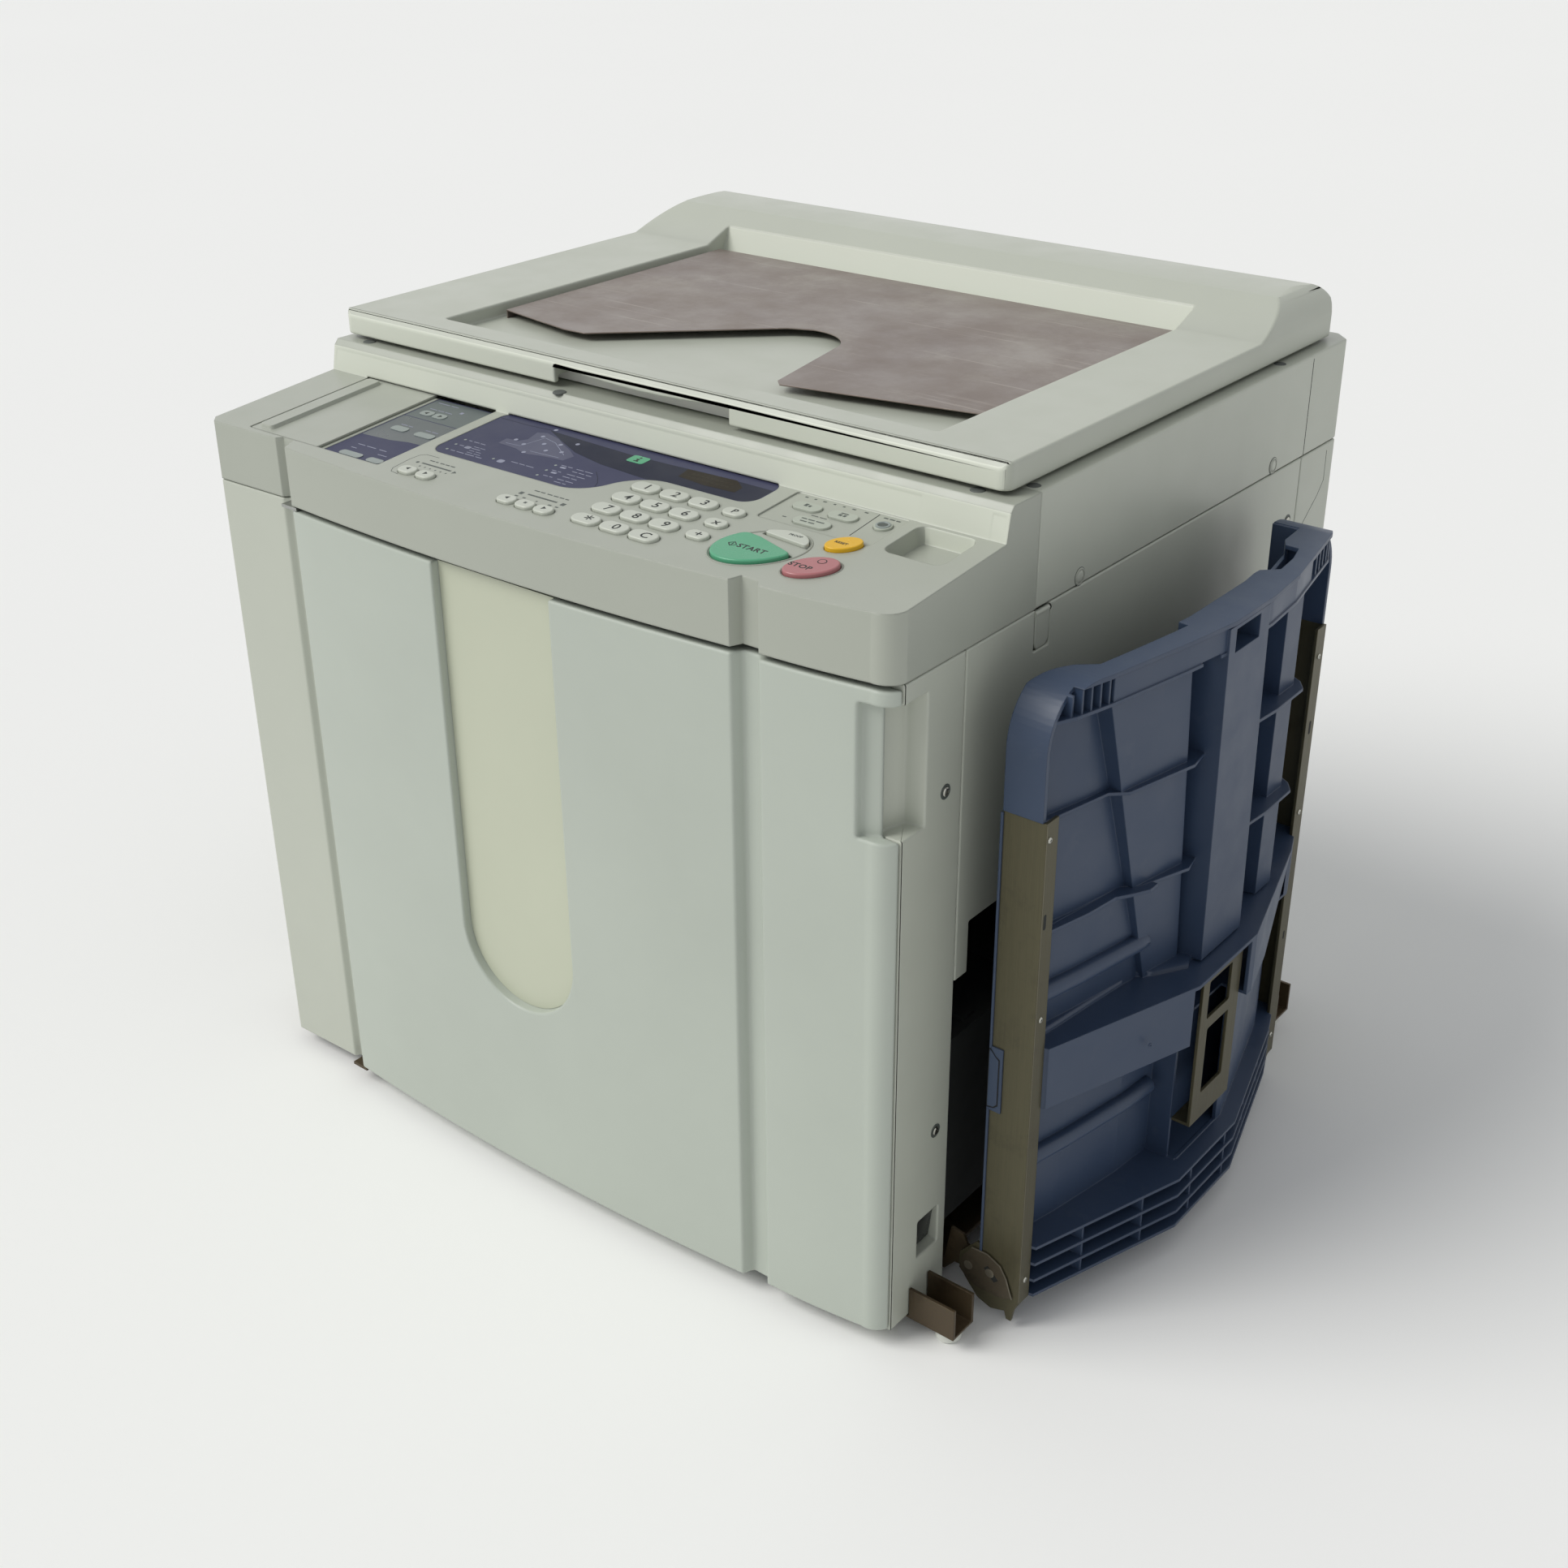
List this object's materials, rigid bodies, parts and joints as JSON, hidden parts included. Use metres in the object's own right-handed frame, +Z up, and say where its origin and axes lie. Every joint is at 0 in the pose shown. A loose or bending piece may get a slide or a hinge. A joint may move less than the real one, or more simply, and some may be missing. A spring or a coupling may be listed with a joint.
{
  "type": "digital duplicator",
  "caption": "Desk-side stencil duplicator with a scanner lid, a sloping key panel, a bowed front door, a ribbed folding receiving tray and a folding feed tray.",
  "frame": {"origin": "on the floor under the middle of the box around the machine", "axes": "+X towards the side where the paper comes out, +Y towards the back, +Z up; the control panel faces -Y"},
  "size_m": [0.895, 0.6611, 0.676],
  "materials": {
    "cover_plastic": "fine-grained light grey moulding",
    "table_plastic": "fine-grained light grey moulding",
    "cream_plastic": "smooth cream moulding",
    "display_film": "dark indigo film",
    "grey_key": "smooth light grey",
    "green_key": "smooth green",
    "pink_key": "smooth dusty red",
    "yellow_key": "smooth yellow",
    "membrane": "soft grey-green membrane",
    "cover_slide": "light grey moulding",
    "glass": "clear plate glass",
    "lid_steel": "brown-grey painted sheet with scuffs",
    "white_pad": "white sponge with a wipe-clean film",
    "tray_plastic": "slate blue moulding",
    "rail_steel": "dark olive painted sheet steel",
    "feed_plastic": "light grey moulding",
    "foot_rubber": "pale translucent rubber",
    "frame_steel": "zinc-plated sheet steel",
    "drum_steel": "brushed perforated steel screen",
    "roller_rubber": "black rubber",
    "master_film": "pale film roll",
    "motor_paint": "black paint",
    "dark_plastic": "black moulding"
  },
  "bodies": {
    "chassis": {"base_plate": "frame_steel", "feet": "foot_rubber", "main_frame": "frame_steel", "left_side_cover": "cover_plastic", "right_pillar": "cover_plastic", "right_side_cover": "cover_plastic", "rear_cover": "cover_plastic", "mains_inlet": "dark_plastic", "drive_motor": "motor_paint", "exit_deck": "dark_plastic", "master_disposal_box": "dark_plastic"},
    "front_door": {"front_cover": "cover_plastic", "cover_inset": "cream_plastic"},
    "scanner_table": {"panel_housing": "table_plastic", "display_panel": "display_film", "mode_keys": "membrane", "scanner_housing": "table_plastic", "stage_glass": "glass", "scanner_base": "frame_steel"},
    "lid_body": {"lid": "table_plastic", "lid_plate": "lid_steel", "lid_pad": "white_pad"},
    "carriage": {"scanner_carriage": "dark_plastic"},
    "slide_cover": {"sub_panel_cover": "cover_slide"},
    "rocker": {"power_switch": "dark_plastic"},
    "lever": {"release_lever": "cover_plastic"},
    "drum": {"print_drum": "drum_steel"},
    "impression": {"impression_roller": "roller_rubber"},
    "master": {"master_roll": "master_film"},
    "feeder": {"feed_roller": "roller_rubber"},
    "delivery_tray": {"receiving_tray": "tray_plastic", "tray_rails": "rail_steel"},
    "end_fence": {"tray_end_fence": "tray_plastic"},
    "front_fence": {"side_fence_front": "tray_plastic"},
    "rear_fence": {"side_fence_rear": "tray_plastic"},
    "feed_table": {"feed_tray": "feed_plastic"},
    "key_0_body": {"key_0": "grey_key"},
    "key_1_body": {"key_1": "grey_key"},
    "key_2_body": {"key_2": "grey_key"},
    "key_3_body": {"key_3": "grey_key"},
    "key_4_body": {"key_4": "grey_key"},
    "key_5_body": {"key_5": "grey_key"},
    "key_6_body": {"key_6": "grey_key"},
    "key_7_body": {"key_7": "grey_key"},
    "key_8_body": {"key_8": "grey_key"},
    "key_9_body": {"key_9": "grey_key"},
    "key_star_body": {"key_star": "grey_key"},
    "key_c_body": {"key_c": "grey_key"},
    "key_p_body": {"key_p": "grey_key"},
    "key_times_body": {"key_times": "grey_key"},
    "key_plus_body": {"key_plus": "grey_key"},
    "key_speed_down_body": {"key_speed_down": "grey_key"},
    "key_speed_up_body": {"key_speed_up": "grey_key"},
    "key_position_left_body": {"key_position_left": "grey_key"},
    "key_position_centre_body": {"key_position_centre": "grey_key"},
    "key_position_right_body": {"key_position_right": "grey_key"},
    "start_key_body": {"start_key": "green_key"},
    "proof_key_body": {"proof_key": "grey_key"},
    "stop_key_body": {"stop_key": "pink_key"},
    "reset_key_body": {"reset_key": "yellow_key"}
  },
  "joints": [
    {"name": "front_door_hinge", "type": "hinge", "parent": "chassis", "child": "front_door", "pos_m": [-0.234, -0.3155, 0.28], "axis": [0, 0, -1], "range_deg": [0, 90]},
    {"name": "table_slide", "type": "slide", "parent": "chassis", "child": "scanner_table", "axis": [-1, 0, 0], "range_m": [0, 0.21]},
    {"name": "lid_hinge", "type": "hinge", "parent": "scanner_table", "child": "lid_body", "pos_m": [0, 0.308, 0.641], "axis": [-1, 0, 0], "range_deg": [0, 70]},
    {"name": "carriage_slide", "type": "slide", "parent": "scanner_table", "child": "carriage", "axis": [1, 0, 0], "range_m": [0, 0.38]},
    {"name": "cover_slide", "type": "slide", "parent": "scanner_table", "child": "slide_cover", "axis": [1, 0, 0], "range_m": [0, 0.067]},
    {"name": "power_rocker", "type": "hinge", "parent": "chassis", "child": "rocker", "pos_m": [0.3215, -0.2525, 0.079], "axis": [0, -1, 0], "range_deg": [0, 14]},
    {"name": "release_lever_hinge", "type": "hinge", "parent": "chassis", "child": "lever", "pos_m": [0.331, -0.137, 0.541], "axis": [0, -1, 0], "range_deg": [0, 30], "stiffness_Nm_per_rad": 0.02, "springref_deg": -5.73},
    {"name": "drum_spin", "type": "hinge", "parent": "chassis", "child": "drum", "pos_m": [0.01, 0, 0.36], "axis": [0, 1, 0], "continuous": true},
    {"name": "impression_spin", "type": "hinge", "parent": "chassis", "child": "impression", "pos_m": [0.01, 0, 0.2494], "axis": [0, 1, 0], "continuous": true},
    {"name": "master_spin", "type": "hinge", "parent": "chassis", "child": "master", "pos_m": [0.2, 0, 0.485], "axis": [0, 1, 0], "continuous": true},
    {"name": "feed_roller_spin", "type": "hinge", "parent": "chassis", "child": "feeder", "pos_m": [-0.255, 0, 0.3], "axis": [0, 1, 0], "continuous": true},
    {"name": "delivery_tray_hinge", "type": "hinge", "parent": "chassis", "child": "delivery_tray", "pos_m": [0.3555, -0.02, 0.044], "axis": [0, 1, 0], "range_deg": [0, 90]},
    {"name": "end_fence_hinge", "type": "hinge", "parent": "delivery_tray", "child": "end_fence", "pos_m": [0.386, -0.02, 0.497], "axis": [0, 1, 0], "range_deg": [0, 90]},
    {"name": "front_fence_hinge", "type": "hinge", "parent": "delivery_tray", "child": "front_fence", "pos_m": [0.386, -0.138, 0.24], "axis": [0, 0, 1], "range_deg": [0, 90]},
    {"name": "rear_fence_hinge", "type": "hinge", "parent": "delivery_tray", "child": "rear_fence", "pos_m": [0.386, 0.098, 0.24], "axis": [0, 0, -1], "range_deg": [0, 90]},
    {"name": "feed_tray_hinge", "type": "hinge", "parent": "chassis", "child": "feed_table", "pos_m": [-0.35, -0.03, 0.205], "axis": [0, -1, 0], "range_deg": [0, 90]},
    {"name": "key_0_press", "type": "slide", "parent": "scanner_table", "child": "key_0_body", "axis": [0, 0.0861, -0.9963], "range_m": [0, 0.0015], "stiffness_N_per_m": 300, "springref_m": -0.0015},
    {"name": "key_1_press", "type": "slide", "parent": "scanner_table", "child": "key_1_body", "axis": [0, 0.0861, -0.9963], "range_m": [0, 0.0015], "stiffness_N_per_m": 300, "springref_m": -0.0015},
    {"name": "key_2_press", "type": "slide", "parent": "scanner_table", "child": "key_2_body", "axis": [0, 0.0861, -0.9963], "range_m": [0, 0.0015], "stiffness_N_per_m": 300, "springref_m": -0.0015},
    {"name": "key_3_press", "type": "slide", "parent": "scanner_table", "child": "key_3_body", "axis": [0, 0.0861, -0.9963], "range_m": [0, 0.0015], "stiffness_N_per_m": 300, "springref_m": -0.0015},
    {"name": "key_4_press", "type": "slide", "parent": "scanner_table", "child": "key_4_body", "axis": [0, 0.0861, -0.9963], "range_m": [0, 0.0015], "stiffness_N_per_m": 300, "springref_m": -0.0015},
    {"name": "key_5_press", "type": "slide", "parent": "scanner_table", "child": "key_5_body", "axis": [0, 0.0861, -0.9963], "range_m": [0, 0.0015], "stiffness_N_per_m": 300, "springref_m": -0.0015},
    {"name": "key_6_press", "type": "slide", "parent": "scanner_table", "child": "key_6_body", "axis": [0, 0.0861, -0.9963], "range_m": [0, 0.0015], "stiffness_N_per_m": 300, "springref_m": -0.0015},
    {"name": "key_7_press", "type": "slide", "parent": "scanner_table", "child": "key_7_body", "axis": [0, 0.0861, -0.9963], "range_m": [0, 0.0015], "stiffness_N_per_m": 300, "springref_m": -0.0015},
    {"name": "key_8_press", "type": "slide", "parent": "scanner_table", "child": "key_8_body", "axis": [0, 0.0861, -0.9963], "range_m": [0, 0.0015], "stiffness_N_per_m": 300, "springref_m": -0.0015},
    {"name": "key_9_press", "type": "slide", "parent": "scanner_table", "child": "key_9_body", "axis": [0, 0.0861, -0.9963], "range_m": [0, 0.0015], "stiffness_N_per_m": 300, "springref_m": -0.0015},
    {"name": "key_star_press", "type": "slide", "parent": "scanner_table", "child": "key_star_body", "axis": [0, 0.0861, -0.9963], "range_m": [0, 0.0015], "stiffness_N_per_m": 300, "springref_m": -0.0015},
    {"name": "key_c_press", "type": "slide", "parent": "scanner_table", "child": "key_c_body", "axis": [0, 0.0861, -0.9963], "range_m": [0, 0.0015], "stiffness_N_per_m": 300, "springref_m": -0.0015},
    {"name": "key_p_press", "type": "slide", "parent": "scanner_table", "child": "key_p_body", "axis": [0, 0.0861, -0.9963], "range_m": [0, 0.0015], "stiffness_N_per_m": 300, "springref_m": -0.0015},
    {"name": "key_times_press", "type": "slide", "parent": "scanner_table", "child": "key_times_body", "axis": [0, 0.0861, -0.9963], "range_m": [0, 0.0015], "stiffness_N_per_m": 300, "springref_m": -0.0015},
    {"name": "key_plus_press", "type": "slide", "parent": "scanner_table", "child": "key_plus_body", "axis": [0, 0.0861, -0.9963], "range_m": [0, 0.0015], "stiffness_N_per_m": 300, "springref_m": -0.0015},
    {"name": "key_speed_down_press", "type": "slide", "parent": "scanner_table", "child": "key_speed_down_body", "axis": [0, 0.0861, -0.9963], "range_m": [0, 0.0015], "stiffness_N_per_m": 300, "springref_m": -0.0015},
    {"name": "key_speed_up_press", "type": "slide", "parent": "scanner_table", "child": "key_speed_up_body", "axis": [0, 0.0861, -0.9963], "range_m": [0, 0.0015], "stiffness_N_per_m": 300, "springref_m": -0.0015},
    {"name": "key_position_left_press", "type": "slide", "parent": "scanner_table", "child": "key_position_left_body", "axis": [0, 0.0861, -0.9963], "range_m": [0, 0.0015], "stiffness_N_per_m": 300, "springref_m": -0.0015},
    {"name": "key_position_centre_press", "type": "slide", "parent": "scanner_table", "child": "key_position_centre_body", "axis": [0, 0.0861, -0.9963], "range_m": [0, 0.0015], "stiffness_N_per_m": 300, "springref_m": -0.0015},
    {"name": "key_position_right_press", "type": "slide", "parent": "scanner_table", "child": "key_position_right_body", "axis": [0, 0.0861, -0.9963], "range_m": [0, 0.0015], "stiffness_N_per_m": 300, "springref_m": -0.0015},
    {"name": "start_key_press", "type": "slide", "parent": "scanner_table", "child": "start_key_body", "axis": [0, 0.0861, -0.9963], "range_m": [0, 0.0015], "stiffness_N_per_m": 300, "springref_m": -0.0015},
    {"name": "proof_key_press", "type": "slide", "parent": "scanner_table", "child": "proof_key_body", "axis": [0, 0.0861, -0.9963], "range_m": [0, 0.0015], "stiffness_N_per_m": 300, "springref_m": -0.0015},
    {"name": "stop_key_press", "type": "slide", "parent": "scanner_table", "child": "stop_key_body", "axis": [0, 0.0861, -0.9963], "range_m": [0, 0.0015], "stiffness_N_per_m": 300, "springref_m": -0.0015},
    {"name": "reset_key_press", "type": "slide", "parent": "scanner_table", "child": "reset_key_body", "axis": [0, 0.0861, -0.9963], "range_m": [0, 0.0015], "stiffness_N_per_m": 300, "springref_m": -0.0015}
  ],
  "couplings": [
    {"joint": "impression_spin", "follows": "drum_spin", "ratio": -4},
    {"joint": "end_fence_hinge", "follows": "delivery_tray_hinge", "ratio": 1},
    {"joint": "front_fence_hinge", "follows": "delivery_tray_hinge", "ratio": 1},
    {"joint": "rear_fence_hinge", "follows": "delivery_tray_hinge", "ratio": 1}
  ]
}
